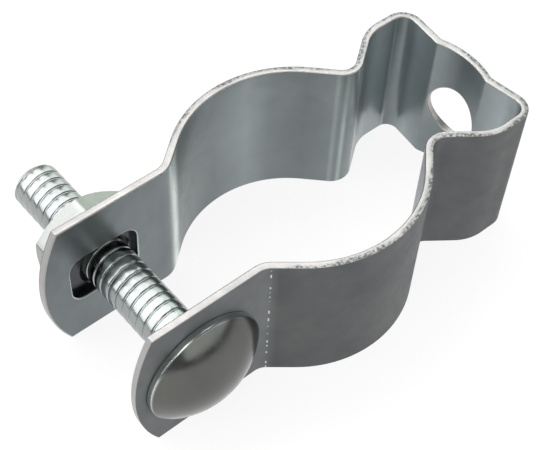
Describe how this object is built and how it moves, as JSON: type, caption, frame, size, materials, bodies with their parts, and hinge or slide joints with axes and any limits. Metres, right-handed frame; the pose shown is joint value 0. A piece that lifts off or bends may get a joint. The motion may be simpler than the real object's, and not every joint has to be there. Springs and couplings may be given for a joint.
{
  "type": "conduit hanger",
  "caption": "Folded zinc-plated steel strap hanger that clamps round a conduit, closed across its ears by a carriage bolt and hex nut, with a mounting hole in its head.",
  "frame": {"origin": "axis of the clamped conduit, in the plane of the strap's lower sheared edge, on which the hanger lies", "axes": "+Z along the conduit, +X from the bolted ears to the head with the mounting hole, +Y from the bolt head to the nut"},
  "size_m": [0.0462, 0.0312, 0.0159],
  "materials": {
    "strap_steel": "satin bright zinc plate on sheared cold-rolled strip",
    "bolt_steel": "bright zinc plate on a cold-headed bolt with rolled thread",
    "nut_steel": "bright zinc plate on a pressed hex nut"
  },
  "bodies": {
    "strap": {"strap": "strap_steel"},
    "bolt": {"carriage_bolt": "bolt_steel"},
    "nut": {"hex_nut": "nut_steel"}
  },
  "joints": [
    {"name": "nut_turn", "type": "hinge", "parent": "strap", "child": "nut", "pos_m": [-0.01705, 0.00725, 0.00764], "axis": [0, 1, 0], "range_deg": [0, 2660]},
    {"name": "bolt_slide", "type": "slide", "parent": "strap", "child": "bolt", "axis": [0, -1, 0], "range_m": [0, 0.0078]}
  ],
  "couplings": [
    {"joint": "nut_turn", "follows": "bolt_slide", "rad_per_m": 5936.9}
  ]
}
